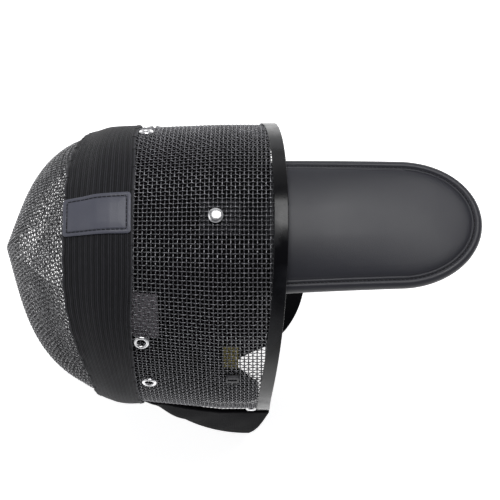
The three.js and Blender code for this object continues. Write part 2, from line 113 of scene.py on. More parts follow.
# places are rows of (x, forward, height)
def skinHits(starts, directions):
    inside = np.zeros(len(starts))
    outside = np.full(len(starts), 0.32)
    for _ in range(32):
        half = (inside + outside) / 2
        places = starts + directions * half[:, None]
        within = skinLevel(*places.T) < 0
        inside = np.where(within, half, inside)
        outside = np.where(within, outside, half)
    return starts + directions * inside[:, None]


def skinSlope(places):
    step = 0.0005
    slopes = []
    for axis in range(3):
        move = np.zeros(3)
        move[axis] = step
        slopes.append(skinLevel(*(places + move).T) - skinLevel(*(places - move).T))
    return np.column_stack(slopes) / (2 * step)


def toWorld(places):
    return np.column_stack([places[:, 0], backEdgeY - places[:, 1], places[:, 2]])


def skinNormals(places):
    slope = skinSlope(places) * [1, -1, 1]
    return slope / np.linalg.norm(slope, axis=1)[:, None]


def ringPlaces(angle, forward):     # angle in degrees from the top, seen from the front
    angle, forward = np.broadcast_arrays(np.asarray(angle, float), np.asarray(forward, float))
    turn = np.radians(angle.ravel())
    forward = forward.ravel()
    starts = np.column_stack([np.zeros(len(forward)), forward, middleHeight(forward)])
    return skinHits(starts, np.column_stack([np.sin(turn), np.zeros(len(turn)), np.cos(turn)]))


def onSkin(angle, forward, lift):
    places = ringPlaces(angle, forward)
    return toWorld(places) + skinNormals(places) * np.reshape(lift, (-1, 1))


ringAngles = np.linspace(-179, 179, 1433)
ringLine = ringPlaces(ringAngles, 0.07)
ringSteps = np.linalg.norm(np.diff(ringLine, axis=0), axis=1)
ringLengths = np.concatenate([[0], np.cumsum(ringSteps)])
ringLengths -= np.interp(0, ringAngles, ringLengths)


def angleAt(distance):              # distance round the crown from its top, to the wearer's left
    return np.interp(distance, ringLengths, ringAngles)


def distanceAt(angle):
    return float(np.interp(angle, ringAngles, ringLengths))


rim = {
    "width": 0.010, "innerWidth": 0.007, "wall": 0.0012, "lip": 0.0012,
    "angle": 102, "sideShift": 0.0115, "outerLift": 0.0028, "rounding": 0.00045, "steps": 200,
}


def rimForward(angle):
    return rim["sideShift"] * np.sin(np.radians(np.clip(angle, -90, 90))) ** 2


# modelling helpers

def clearSelection():
    if bpy.context.object and bpy.context.object.mode != "OBJECT":
        bpy.ops.object.mode_set(mode="OBJECT")
    bpy.ops.object.select_all(action="DESELECT")


def named(name):                    # takes the primitive that was just added
    piece = bpy.context.object
    piece.name = name
    piece.data.name = name
    bpy.ops.object.transform_apply(location=True, rotation=True, scale=True)
    return piece


def flatGrid(name, columns, rows, width, length, centre=(0, 0, 0)):
    clearSelection()
    bpy.ops.mesh.primitive_grid_add(x_subdivisions=columns, y_subdivisions=rows, size=1)
    bpy.ops.transform.resize(value=(width, length, 1))
    bpy.ops.transform.translate(value=centre)
    return named(name)


def edit(kinds="FACE"):
    bpy.context.tool_settings.mesh_select_mode = [kind == kinds for kind in ("VERT", "EDGE", "FACE")]
    bpy.ops.object.mode_set(mode="EDIT")


def pickNothing(mesh):
    for parts in (mesh.vertices, mesh.edges, mesh.polygons):
        parts.foreach_set("select", np.zeros(len(parts), bool))


def pickFaces(piece, test):         # test(centre, normal) says which faces are selected in edit mode
    bpy.ops.object.mode_set(mode="OBJECT")
    pickNothing(piece.data)
    for face in piece.data.polygons:
        face.select = bool(test(face.center, face.normal))
    edit("FACE")


def pickEdges(piece, test):         # test(first end, second end)
    bpy.ops.object.mode_set(mode="OBJECT")
    pickNothing(piece.data)
    ends = piece.data.vertices
    for edge in piece.data.edges:
        edge.select = bool(test(ends[edge.vertices[0]].co, ends[edge.vertices[1]].co))
    edit("EDGE")


def editAll(kinds="VERT"):
    edit(kinds)
    bpy.ops.mesh.select_all(action="SELECT")


def leaveEdit():
    bpy.ops.object.mode_set(mode="OBJECT")


def outwards():
    editAll()
    bpy.ops.mesh.normals_make_consistent(inside=False)
    leaveEdit()


def modify(piece, kind, **settings):
    modifier = piece.modifiers.new(kind.title(), kind)
    for key, value in settings.items():
        setattr(modifier, key, value)
    bpy.context.view_layer.objects.active = piece
    bpy.ops.object.modifier_apply(modifier=modifier.name)


def roundCorners(piece, width, segments, degrees=50):
    modify(piece, "BEVEL", width=width, segments=segments, limit_method="ANGLE",
           angle_limit=math.radians(degrees))


def repeat(piece, count, step, **settings):
    modify(piece, "ARRAY", count=count, use_relative_offset=False, use_constant_offset=True,
           constant_offset_displace=step, **settings)


def corners(piece):
    points = np.zeros(len(piece.data.vertices) * 3)
    piece.data.vertices.foreach_get("co", points)
    return points.reshape(-1, 3)


def shapeBy(piece, mapping):        # mapping takes and gives rows of points
    piece.data.vertices.foreach_set("co", mapping(corners(piece)).astype(np.float32).ravel())
    piece.data.update()


def keepFlatPlace(piece):           # the flat cut's own X and Y, as the piece's UV map
    flat = piece.data.uv_layers.get("flat") or piece.data.uv_layers.new(name="flat")
    index = np.zeros(len(piece.data.loops), int)
    piece.data.loops.foreach_get("vertex_index", index)
    flat.data.foreach_set("uv", corners(piece)[index][:, :2].astype(np.float32).ravel())
    for layer in [layer for layer in piece.data.uv_layers if layer.name != "flat"]:
        piece.data.uv_layers.remove(layer)


def smoothFaces(piece, degrees=40):
    clearSelection()
    piece.select_set(True)
    bpy.context.view_layer.objects.active = piece
    bpy.ops.object.shade_smooth_by_angle(angle=math.radians(degrees))


def joined(name, pieces):
    clearSelection()
    for piece in pieces:
        piece.select_set(True)
    bpy.context.view_layer.objects.active = pieces[0]
    if len(pieces) > 1:
        bpy.ops.object.join()
    pieces[0].name = name
    pieces[0].data.name = name
    return pieces[0]


def copyOf(piece, name):
    copy = piece.copy()
    copy.data = piece.data.copy()
    copy.name = name
    copy.data.name = name
    bpy.context.scene.collection.objects.link(copy)
    return copy


def lengthsAlong(line):
    steps = np.linalg.norm(np.diff(line, axis=0), axis=1)
    return np.concatenate([[0], np.cumsum(steps)])


def at(places, lengths, line):      # the points of a line at these lengths along it
    return np.column_stack([np.interp(places, lengths, column) for column in np.transpose(line)])


def complete(piece, finish, slot, *nodes):
    piece.data.materials.clear()
    piece.data.materials.append(finish)
    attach(piece, "root")
    if nodes:
        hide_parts(*nodes)
    return piece


def rowOfStitches(name, stitch, length, height=0.0):
    # a straight row of thread stitches along X, to be laid on a seam by shapeBy
    clearSelection()
    count = max(int(length / stitch["pitch"]), 1)
    bpy.ops.mesh.primitive_cylinder_add(
        vertices=6, radius=stitch["radius"], depth=stitch["length"], rotation=(0, math.pi / 2, 0),
        location=((length - (count - 1) * stitch["pitch"]) / 2, 0, height),
    )
    piece = named(name)
    editAll("EDGE")
    pickFaces(piece, lambda centre, normal: abs(normal.x) > 0.9)
    bpy.ops.mesh.extrude_faces_move(
        MESH_OT_extrude_faces_indiv={}, TRANSFORM_OT_shrink_fatten={"value": stitch["radius"] * 0.6})
    bpy.ops.transform.resize(value=(1, 0.4, 0.4))
    leaveEdit()
    repeat(piece, count, (stitch["pitch"], 0, 0))
    return piece


def seamLine(points):               # a mapping from a straight row to the seam through these flat points
    points = np.asarray(points, float)
    lengths = lengthsAlong(points)

    def place(rows):
        reach = 0.0004
        here = at(rows[:, 0], lengths, points)
        along = at(rows[:, 0] + reach, lengths, points) - at(rows[:, 0] - reach, lengths, points)
        along /= np.maximum(np.linalg.norm(along, axis=1), 1e-9)[:, None]
        side = np.column_stack([-along[:, 1], along[:, 0]])
        flat = here + side * rows[:, 1:2]
        return np.column_stack([flat, rows[:, 2]])

    return place, lengths[-1]


def sewRow(name, stitch, points, height, lay, slot):
    seam, length = seamLine(points)
    row = rowOfStitches(name, stitch, length, height)
    shapeBy(row, seam)
    shapeBy(row, lay)
    outwards()
    smoothFaces(row, 70)
    complete(row, darkThread, slot)


# finishes

class Signal:                       # one socket, so that shader maths reads as a formula
    def __init__(self, finish, socket):
        self.finish = finish
        self.socket = socket

    def math(self, operation, first, second=None):
        values = {0: first} if second is None else {0: first, 1: second}
        return self.finish.node("Math", {"operation": operation}, values)

    def __add__(self, other):
        return self.math("ADD", self, other)

    def __radd__(self, other):
        return self.math("ADD", other, self)

    def __sub__(self, other):
        return self.math("SUBTRACT", self, other)

    def __rsub__(self, other):
        return self.math("SUBTRACT", other, self)

    def __mul__(self, other):
        return self.math("MULTIPLY", self, other)

    def __rmul__(self, other):
        return self.math("MULTIPLY", other, self)

    def __truediv__(self, other):
        return self.math("DIVIDE", self, other)

    def __pow__(self, other):
        return self.math("POWER", self, other)

    def sine(self):
        return self.math("SINE", self)

    def size(self):
        return self.math("ABSOLUTE", self)


class Finish:
    def __init__(self, name, **constants):
        self.material = bpy.data.materials.new(name)
        self.material.use_nodes = True
        self.tree = self.material.node_tree
        self.tree.nodes.clear()
        self.shader = self.tree.nodes.new("ShaderNodeBsdfPrincipled")
        output = self.tree.nodes.new("ShaderNodeOutputMaterial")
        self.tree.links.new(self.shader.outputs[0], output.inputs[0])
        for key, value in constants.items():
            self.set(key, value)

    def set(self, key, value):      # sheenWeight is the shader's Sheen Weight
        words = "".join(" " + letter if letter.isupper() else letter for letter in key)
        name = "Specular IOR Level" if key == "specular" else words[0].upper() + words[1:]
        self.feed(self.shader.inputs[name], value)

    def feed(self, socket, value):
        if isinstance(value, Signal):
            self.tree.links.new(value.socket, socket)
        elif isinstance(value, tuple) and len(value) == 3 and socket.type == "RGBA":
            socket.default_value = (*value, 1)
        else:
            socket.default_value = value

    def node(self, kind, settings=None, values=None, output=0):
        made = self.tree.nodes.new("ShaderNode" + kind)
        for key, value in (settings or {}).items():
            if key == "stops":
                for i, (place, colour) in enumerate(value):
                    stops = made.color_ramp.elements
                    stop = stops[i] if i < len(stops) else stops.new(place)
                    stop.position = place
                    stop.color = (*colour, 1) if isinstance(colour, tuple) else (colour,) * 3 + (1,)
            else:
                setattr(made, key, value)
        for key, value in (values or {}).items():
            self.feed(made.inputs[key], value)
        return Signal(self, made.outputs[output])

    def place(self, output="Object"):
        return self.node("TexCoord", output=output)

    def flat(self):
        place = self.node("UVMap", {"uv_map": "flat"})
        return self.parts(place, 2)

    def parts(self, place, count=3):
        return [self.node("SeparateXYZ", values={0: place}, output=i) for i in range(count)]

    def noise(self, scale, detail=2, place=None, stretch=None):
        place = place or self.place()
        if stretch:
            place = self.node("Mapping", values={"Vector": place, "Scale": stretch})
        return self.node("TexNoise", values={"Vector": place, "Scale": scale, "Detail": detail})

    def mix(self, share, first, second):
        return self.node("Mix", {"data_type": "RGBA"}, {0: share, 6: first, 7: second}, output=2)

    def bump(self, height, distance, strength=1.0):
        values = {"Height": height, "Distance": distance, "Strength": strength}
        self.set("normal", self.node("Bump", values=values))


wireLook = {
    "enamel": (0.02, 0.02, 0.022), "worn": (0.26, 0.26, 0.28), "roughness": 0.24, "roughnessSpread": 0.14,
    "metallic": 0.6, "coat": 0.5, "mottle": 900, "wear": (0.30, 0.70),
}


def wireFinish(name, look):
    finish = Finish(name, metallic=look["metallic"], coatWeight=look["coat"], coatRoughness=0.15)
    mottle = finish.noise(look["mottle"], 3)
    low, high = look["wear"]
    wear = finish.node("ValToRGB", {"stops": [(low, 0.0), (high, 1.0)]}, {0: mottle})
    finish.set("baseColor", finish.mix(wear, look["enamel"], look["worn"]))
    spread = look["roughnessSpread"]
    finish.set("roughness", mottle * spread + look["roughness"] - spread / 2)
    finish.bump(mottle, 0.00006, 0.6)
    return finish.material


rimLook = {"colour": (0.003, 0.003, 0.004), "dust": (0.008, 0.0085, 0.011), "roughness": 0.2, "waves": 28}


def rimFinish():
    finish = Finish("glossRim", specular=0.4)
    clouds = finish.noise(45, 5)
    haze = finish.node("ValToRGB", {"stops": [(0.42, 0.0), (0.7, 1.0)]}, {0: clouds})
    finish.set("baseColor", finish.mix(haze, rimLook["colour"], rimLook["dust"]))
    finish.set("roughness", haze * 0.22 + rimLook["roughness"])
    finish.bump(finish.noise(rimLook["waves"], 1) + clouds * 0.15, 0.0012, 0.5)
    return finish.material


webbingLook = {
    "thread": (0.046, 0.046, 0.054), "valley": (0.002, 0.002, 0.0025), "rib": 0.0015, "weft": 0.0009,
    "sheen": 0.10, "selvedge": (0.070, 0.070, 0.078), "specular": 0.22, "streak": 0.0042,
}


def webbingFinish(width):
    look = webbingLook
    finish = Finish("elasticWebbing", sheenWeight=look["sheen"], sheenRoughness=0.4,
                    specular=look["specular"])
    around, back = finish.flat()
    drift = finish.noise(25, 2) * 0.0012
    ribs = ((back + drift) * (2 * math.pi / look["rib"])).sine() * 0.5 + 0.5
    wefts = (around * (2 * math.pi / look["weft"]) + back * (math.pi / look["rib"])).sine() * 0.5 + 0.5
    weave = ribs * 0.7 + wefts * 0.3
    streaks = ((back + drift * 0.6) * (2 * math.pi / look["streak"])).sine() * 0.3 + 0.7
    # painted shade: the thread's tone runs down to near black in the valleys between the ribs
    toneWithValleyShade = finish.mix(weave * streaks * (finish.noise(300, 2) * 0.6 + 0.6), look["valley"], look["thread"])
    edge = (back + width / 2).size() / width                    # 0 in the middle, 0.5 at both edges
    selvedge = finish.node("ValToRGB", {"stops": [(0.47, 0.0), (0.485, 1.0)]}, {0: edge})
    finish.set("baseColor", finish.mix(selvedge * 0.7, toneWithValleyShade, look["selvedge"]))
    finish.set("roughness", 0.82 - weave * 0.14)
    finish.bump(weave, 0.00035, 0.9)
    return finish.material


leatherLook = {
    "patch": ((0.115, 0.120, 0.155), (0.062, 0.064, 0.086)),
    "tongue": ((0.036, 0.037, 0.044), (0.024, 0.024, 0.034)),
    "grain": 1500, "grainDepth": 0.00009, "clouds": 22,
}


def leatherFinish(name, tones, roughness):
    finish = Finish(name, sheenWeight=0.08)
    cells = finish.node("TexVoronoi", {"feature": "DISTANCE_TO_EDGE"}, {
        "Vector": finish.place(), "Scale": leatherLook["grain"]})
    clouds = finish.noise(leatherLook["clouds"], 4)
    fine = finish.noise(900, 3)
    finish.set("baseColor", finish.mix(clouds, *tones))
    finish.set("roughness", clouds * 0.12 + fine * 0.1 + roughness - 0.11)
    finish.bump(cells * 1.5 + fine * 0.6 + clouds * 1.2, leatherLook["grainDepth"], 0.7)
    return finish.material


clothLook = {
    "bib": ((0.003, 0.003, 0.0035), (0.012, 0.012, 0.014)),
    # the padding is black cloth, taken darker still as painted shade for the hollow behind the wires
    "padding": ((0.001, 0.001, 0.0011), (0.004, 0.004, 0.0043)),
    "pale": ((0.30, 0.27, 0.30), (0.50, 0.46, 0.50)),
    "yellow": ((0.42, 0.36, 0.10), (0.60, 0.52, 0.18)),
}


def clothFinish(name, tones, thread, roughness, sheen, specular):
    finish = Finish(name, sheenWeight=sheen, sheenRoughness=0.35, specular=specular)
    place = finish.place()
    scale = 2 * math.pi / thread
    rows = [part * scale for part in finish.parts(place)]
    weave = rows[0].sine() * rows[1].sine() * 0.3 + rows[2].sine() * 0.2 + 0.5
    fuzz = finish.noise(700, 3)
    finish.set("baseColor", finish.mix(weave * 0.5 + fuzz * 0.5, *tones))
    finish.set("roughness", fuzz * 0.15 + roughness)
    finish.bump(weave + fuzz * 0.8 + finish.noise(35, 3) * 3, 0.00022, 0.8)
    return finish.material


def metalFinish(name, colour, roughness, brushed):
    finish = Finish(name, metallic=1.0, baseColor=colour)
    marks = finish.noise(260, 4, stretch=brushed)
    finish.set("roughness", marks * 0.16 + roughness)
    finish.bump(marks, 0.00003, 0.5)
    return finish.material


def plasticFinish(name, colour, roughness):
    finish = Finish(name)
    grain = finish.noise(1400, 2)
    finish.set("baseColor", finish.mix(grain, colour, tuple(part * 1.7 for part in colour)))
    finish.set("roughness", grain * 0.15 + roughness)
    finish.bump(grain, 0.00005, 0.5)
    return finish.material


sideWire = wireFinish("sideWire", wireLook)
# painted light: a lit copy of the same wire finish, lighter and more metallic, as painted glint on the face's
# wires
faceWireLitLook = {**wireLook, "worn": (0.30, 0.30, 0.31), "metallic": 0.85, "roughness": 0.26}
faceWire = wireFinish("faceWire", faceWireLitLook)
glossRim = rimFinish()
patchLeather = leatherFinish("patchLeather", leatherLook["patch"], 0.42)
tongueLeather = leatherFinish("tongueLeather", leatherLook["tongue"], 0.44)
bibCloth = clothFinish("bibCloth", clothLook["bib"], 0.0016, 0.7, 0.0, 0.03)
paddingClothWithShade = clothFinish("paddingClothWithShade", clothLook["padding"], 0.002, 0.8, 0.0, 0.08)
paleCloth = clothFinish("paleCloth", clothLook["pale"], 0.001, 0.8, 0.1, 0.4)
yellowCloth = clothFinish("yellowCloth", clothLook["yellow"], 0.001, 0.8, 0.1, 0.4)
darkThread = plasticFinish("darkThread", (0.004, 0.004, 0.005), 0.55)
polishedMetal = metalFinish("polishedMetal", (0.92, 0.92, 0.93), 0.2, (1, 1, 1))
springSteel = metalFinish("springSteel", (0.016, 0.016, 0.018), 0.42, (1, 0.06, 1))
clipPlastic = plasticFinish("clipPlastic", (0.022, 0.022, 0.026), 0.42)
print("finishes made")

# floor, light and camera

stageSetup = {
    "cameraFrom": 0.95, "cameraTilt": 16, "lens": 97.8, "aim": (0.024, -0.027, 0.2816),
    "floorSize": 6, "floorColour": (0.9, 0.9, 0.9), "floorPaintedGlow": 0.86,
    "floorLightPool": [(0.45, 1.0), (0.95, 0.6)],    # painted light: glow and colour at distances from the object, brightest near it
    "zenith": (0.05, 0.05, 0.055), "horizon": (0.5, 0.505, 0.52),
}


def makeStage():
    clearSelection()
    bpy.ops.mesh.primitive_plane_add(size=stageSetup["floorSize"])
    floor = named("floor")
    # painted light: the floor glows though it is no lamp, and its glow and colour fade away from the object as
    # a painted pool of light
    finish = Finish("paleFloor", roughness=0.9, emissionStrength=stageSetup["floorPaintedGlow"])
    across, along = finish.parts(finish.place(), 2)
    away = (across * across + along * along) ** 0.5
    paintedLightPool = finish.node("ValToRGB", {"stops": stageSetup["floorLightPool"]}, {0: away})
    finish.set("baseColor", finish.mix(paintedLightPool, (0, 0, 0), stageSetup["floorColour"]))
    finish.set("emissionColor", paintedLightPool)
    floor.data.materials.append(finish.material)
    for name, place, turn, size, power in (
        ("top", (-0.52, 0.12, 1.7), (-4, -18, 0), (0.75, 1.3), 17),
        ("side", (-1.5, -0.2, 0.9), (0, -60, 0), (1.0, 1.4), 1.2),
        ("front", (0.1, -1.5, 1.0), (57, 0, 0), (1.4, 0.8), 4),
        ("far", (1.2, 0.9, 1.1), (-25, 48, 0), (0.6, 0.6), 0.6),
    ):
        bpy.ops.object.light_add(type="AREA", location=place, rotation=[math.radians(part) for part in turn])
        light = bpy.context.object
        light.name = name + "Light"
        light.data.shape = "RECTANGLE"
        light.data.size, light.data.size_y = size
        light.data.energy = power
    world = bpy.data.worlds.new("studio")
    world.use_nodes = True
    tree = world.node_tree
    height = tree.nodes.new("ShaderNodeSeparateXYZ")
    fade = tree.nodes.new("ShaderNodeValToRGB")
    fade.color_ramp.elements[0].position = 0.12
    fade.color_ramp.elements[0].color = (*stageSetup["horizon"], 1)
    fade.color_ramp.elements[1].position = 0.5
    fade.color_ramp.elements[1].color = (*stageSetup["zenith"], 1)
    tree.links.new(tree.nodes.new("ShaderNodeTexCoord").outputs["Generated"], height.inputs[0])
    tree.links.new(height.outputs["Z"], fade.inputs[0])
    tree.links.new(fade.outputs[0], tree.nodes["Background"].inputs[0])
    bpy.context.scene.world = world
    bpy.context.scene.view_settings.view_transform = "Standard"
    x, y, z = stageSetup["aim"]
    tilt = math.radians(stageSetup["cameraTilt"])
    aim = Vector((x, backEdgeY + y, z))
    back = Vector((math.sin(tilt), 0, math.cos(tilt)))
    right = Vector((0, 1, 0))
    turn = Matrix((right, back.cross(right), back)).transposed().to_quaternion()
    bpy.ops.object.camera_add(location=aim + back * stageSetup["cameraFrom"])
    camera = bpy.context.object
    camera.rotation_mode = "QUATERNION"
    camera.rotation_quaternion = turn
    camera.data.lens = stageSetup["lens"]
    camera.data.sensor_width = 36
    bpy.context.scene.camera = camera


makeStage()
print("stage ready")

# woven wire

wire = {
    "radius": 0.00052, "wave": 0.00050, "cutsPerCrossing": 3, "sides": 4,
    "aroundPitch": 0.00322, "forwardPitch": 0.00311, "facePitch": 0.00316,
    "faceLift": -0.0008, "sideLift": 0.0017,
}


def wovenWires(name, spacing, crossing, wires, crossings, phase):
    # wires side by side along X, each running along Y over and under; both ranges count pitches
    clearSelection()
    (firstWire, lastWire), (firstCrossing, lastCrossing) = wires, crossings
    sign = phase * (-1) ** (firstWire + firstCrossing)
    bpy.ops.mesh.primitive_circle_add(
        vertices=wire["sides"], radius=wire["radius"], rotation=(math.pi / 2, 0, 0),
        location=(firstWire * spacing, firstCrossing * crossing, sign * wire["wave"]))
    piece = named(name)
    editAll()
    steps = 2 * wire["cutsPerCrossing"]
    for step in range(steps):
        now, after = (sign * wire["wave"] * math.cos(2 * math.pi * i / steps) for i in (step, step + 1))
        bpy.ops.mesh.extrude_region_move(TRANSFORM_OT_translate={
            "value": (0, crossing / wire["cutsPerCrossing"], after - now)})
    leaveEdit()
    repeat(piece, (lastCrossing - firstCrossing) // 2, (0, 2 * crossing, 0),
           use_merge_vertices=True, merge_threshold=0.00001)
    editAll()
    bpy.ops.mesh.fill_holes(sides=wire["sides"])
    bpy.ops.mesh.select_all(action="SELECT")
    bpy.ops.mesh.normals_make_consistent(inside=False)
    leaveEdit()
    neighbour = copyOf(piece, name + "Neighbour")
    shapeBy(neighbour, lambda points: points + [spacing, crossing, 0])
    piece = joined(name, [piece, neighbour])
    repeat(piece, (lastWire - firstWire) // 2 + 1, (2 * spacing, 0, 0))
    return piece


def trimWires(piece, spacing, keep):
    # keep takes each cut's wire and its place along the wire
    clearSelection()
    points = corners(piece)
    centre = np.round(points[:, 0] / spacing) * spacing
    bpy.context.view_layer.objects.active = piece
    pickNothing(piece.data)
    piece.data.vertices.foreach_set("select", ~keep(centre, points[:, 1]))
    edit("VERT")
    bpy.ops.mesh.delete(type="VERT")
    bpy.ops.mesh.select_all(action="SELECT")
    bpy.ops.mesh.fill_holes(sides=wire["sides"])
    leaveEdit()


side = {"backInset": 0.0016, "front": 0.1305, "backAngle": 110, "frontAngle": 131}


def onSideMesh(distance, forward):
    angle = angleAt(distance)
    start = rimForward(angle) + side["backInset"]
    share = (forward - start) / (side["front"] - start)
    lowest = lerp(side["backAngle"], side["frontAngle"], smooth(share, 0.4, 0.9))
    return (forward > start) & (forward < side["front"]) & (np.abs(angle) < lowest)


def sideWires():
    around, ahead = wire["aroundPitch"], wire["forwardPitch"]
    half = int(distanceAt(side["frontAngle"]) / around) + 2
    half += half % 2
    rows = int(side["front"] / ahead) + 2
    rows += rows % 2
    along = wovenWires("side_wires_along", around, ahead, (-half, half), (-rows, 2), 1)
    trimWires(along, around, lambda centre, run: onSideMesh(centre, -run))
    shapeBy(along, lambda p: onSkin(angleAt(p[:, 0]), -p[:, 1], wire["sideLift"] + p[:, 2]))
    ringed = wovenWires("side_wires_around", ahead, around, (0, rows), (-half, half), -1)
    trimWires(ringed, ahead, lambda centre, run: onSideMesh(run, centre))
    shapeBy(ringed, lambda p: onSkin(angleAt(p[:, 1]), p[:, 0], wire["sideLift"] + p[:, 2]))
    for piece in (along, ringed):
        smoothFaces(piece, 100)
        complete(piece, sideWire, "side_wire", "side_mesh")


sideWires()
print("side wires woven")

# the face's wires keep their pitch, so their cells shear as they bend over the dome

net = {"behindSeam": 0.014, "tries": 8}


def evenSteps(line, pitch):
    lengths = lengthsAlong(line)
    return at(np.arange(0, lengths[-1], pitch), lengths, line)


def netAxes(pitch):
    centre = np.array([0, shell["seamForward"], shell["seamMiddle"]])
    turn = np.radians(np.linspace(0, 90, 400))
    behind = shell["seamForward"] - np.linspace(0.0002, net["behindSeam"], 30)
    axes = []
    for across, up in ((1, 0), (0, 1), (0, -1)):
        directions = np.column_stack([np.sin(turn) * across, np.cos(turn), np.sin(turn) * up])
        front = skinHits(np.tile(centre, (len(turn), 1)), directions)
        angle = 90 if across else (0 if up > 0 else 180)
        if across:
            starts = np.column_stack([0 * behind, behind, 0 * behind + shell["seamMiddle"]])
            rest = skinHits(starts, np.tile([1.0, 0, 0], (len(behind), 1)))
        else:
            rest = ringPlaces(angle, behind)
        axes.append(evenSteps(np.vstack([front, rest]), pitch))
    return axes


def fillNet(acrossAxis, upAxis, pitch):
    n, m = len(acrossAxis), len(upAxis)
    nodes = np.full((n, m, 3), np.nan)
    nodes[:, 0] = acrossAxis
    nodes[0, :] = upAxis
    weight = 0.1                    # brings the skin's level to the size of the lengths
    for total in range(2, n + m - 1):
        i = np.arange(max(1, total - m + 1), min(n - 1, total - 1) + 1)
        j = total - i
        a, b = nodes[i - 1, j], nodes[i, j - 1]
        guess = a + b - nodes[i - 1, j - 1]
        good = np.isfinite(guess).all(1)
        i, j, a, b, guess = i[good], j[good], a[good], b[good], guess[good]
        if not len(i):
            continue
        for _ in range(net["tries"]):
            left, low = guess - a, guess - b
            error = np.column_stack([
                (left**2).sum(1) - pitch**2,
                (low**2).sum(1) - pitch**2,
                skinLevel(*guess.T) * weight * pitch,
            ])
            slopes = np.stack([2 * left, 2 * low, skinSlope(guess) * weight * pitch], axis=1)
            slopes += np.eye(3) * 1e-12
            step = np.linalg.solve(slopes, error[:, :, None])[:, :, 0]
            step *= np.minimum(1, 0.5 * pitch / np.maximum(np.linalg.norm(step, axis=1), 1e-9))[:, None]
            guess = guess - step
        settled = (np.abs(error).max(1) < 1e-8) & (guess[:, 1] > shell["seamForward"] - net["behindSeam"])
        nodes[i[settled], j[settled]] = guess[settled]
    return nodes


def faceNet(pitch):
    across, up, down = netAxes(pitch)
    upper, lower = fillNet(across, up, pitch), fillNet(across, down, pitch)
    right = np.concatenate([lower[:, :0:-1], upper], axis=1)
    left = right[:0:-1] * [-1, 1, 1]
    return np.concatenate([left, right]), len(across) - 1, len(down) - 1


def faceWires():
    pitch = wire["facePitch"]
    nodes, halfAcross, below = faceNet(pitch)
    above = nodes.shape[1] - 1 - below

    def netPlace(across, up):       # both counted in pitches from the nose
        u = np.clip(across + halfAcross, 0, nodes.shape[0] - 1.001)
        v = np.clip(up + below, 0, nodes.shape[1] - 1.001)
        i, j = u.astype(int), v.astype(int)
        s, t = (u - i)[:, None], (v - j)[:, None]
        low = nodes[i, j] * (1 - s) + nodes[i + 1, j] * s
        high = nodes[i, j + 1] * (1 - s) + nodes[i + 1, j + 1] * s
        return low * (1 - t) + high * t

    def atWire(index, run, runsUp):
        return netPlace(index, run) if runsUp else netPlace(run, index)

    def keep(runsUp):
        def test(centre, run):
            index, place = np.round(centre / pitch), run / pitch
            if runsUp:
                inside = (np.abs(index) <= halfAcross - 1) & (place > -below + 1) & (place < above - 1)
            else:
                inside = (index > -below + 1) & (index < above - 1) & (np.abs(place) < halfAcross - 1)
            here = atWire(index, place, runsUp)
            sound = np.isfinite(here).all(1)
            for reach in (-0.5, 0.5):
                sound &= np.isfinite(atWire(index, place + reach, runsUp)).all(1)
            return inside & sound & (np.nan_to_num(here[:, 1]) > shell["seamForward"] - 0.0006)
        return test

    def lay(runsUp):
        def mapping(points):
            index, place = np.round(points[:, 0] / pitch), points[:, 1] / pitch
            offset = points[:, 0] - index * pitch
            here = atWire(index, place, runsUp)
            run = toWorld(atWire(index, place + 0.5, runsUp)) - toWorld(atWire(index, place - 0.5, runsUp))
            normal = skinNormals(here)
            sideways = np.cross(run, normal)
            sideways /= np.linalg.norm(sideways, axis=1)[:, None]
            return toWorld(here) + sideways * offset[:, None] + normal * (wire["faceLift"] + points[:, 2:3])
        return mapping

    evenAcross = halfAcross + halfAcross % 2
    evenBelow, evenAbove = below + below % 2, above + above % 2
    for name, wires, crossings, phase, runsUp in (
        ("face_wires_up", (-evenAcross, evenAcross), (-evenBelow, evenAbove), 1, True),
        ("face_wires_across", (-evenBelow, evenAbove), (-evenAcross, evenAcross), -1, False),
    ):
        piece = wovenWires(name, pitch, pitch, wires, crossings, phase)
        trimWires(piece, pitch, keep(runsUp))
        shapeBy(piece, lay(runsUp))
        smoothFaces(piece, 100)
        complete(piece, faceWire, "face_wire", "face_mesh")


faceWires()
print("face wires woven")

# rim

def makeRim():
    clearSelection()
    half = distanceAt(rim["angle"])
    low, high = -rim["wall"], rim["outerLift"] + rim["wall"]
    bpy.ops.mesh.primitive_cube_add(
        size=1, location=(0, -rim["lip"] / 2, (low + high) / 2), scale=(2 * half, rim["lip"], high - low))
    piece = named("rim_band")
    for height in (0.0, rim["outerLift"]):
        editAll()
        bpy.ops.mesh.bisect(plane_co=(0, 0, height), plane_no=(0, 0, 1))
    for reach, upper in ((rim["width"], True), (rim["innerWidth"], False)):
        pickFaces(piece, lambda centre, normal: normal.y < -0.9 and (
            centre.z > rim["outerLift"] if upper else centre.z < 0))
        bpy.ops.mesh.extrude_region_move(TRANSFORM_OT_translate={"value": (0, rim["lip"] - reach, 0)})
    leaveEdit()
    roundCorners(piece, rim["rounding"], 3)
    pickEdges(piece, lambda a, b: abs(a.x - b.x) > half)
    bpy.ops.mesh.subdivide(number_cuts=rim["steps"])
    leaveEdit()

    def wrap(points):
        angle = angleAt(points[:, 0])
        return onSkin(angle, rimForward(angle) - points[:, 1], points[:, 2])

    shapeBy(piece, wrap)
    smoothFaces(piece, 45)
    complete(piece, glossRim, "gloss_rim", "rim")


makeRim()
print("rim folded")

# elastic strap and its patch

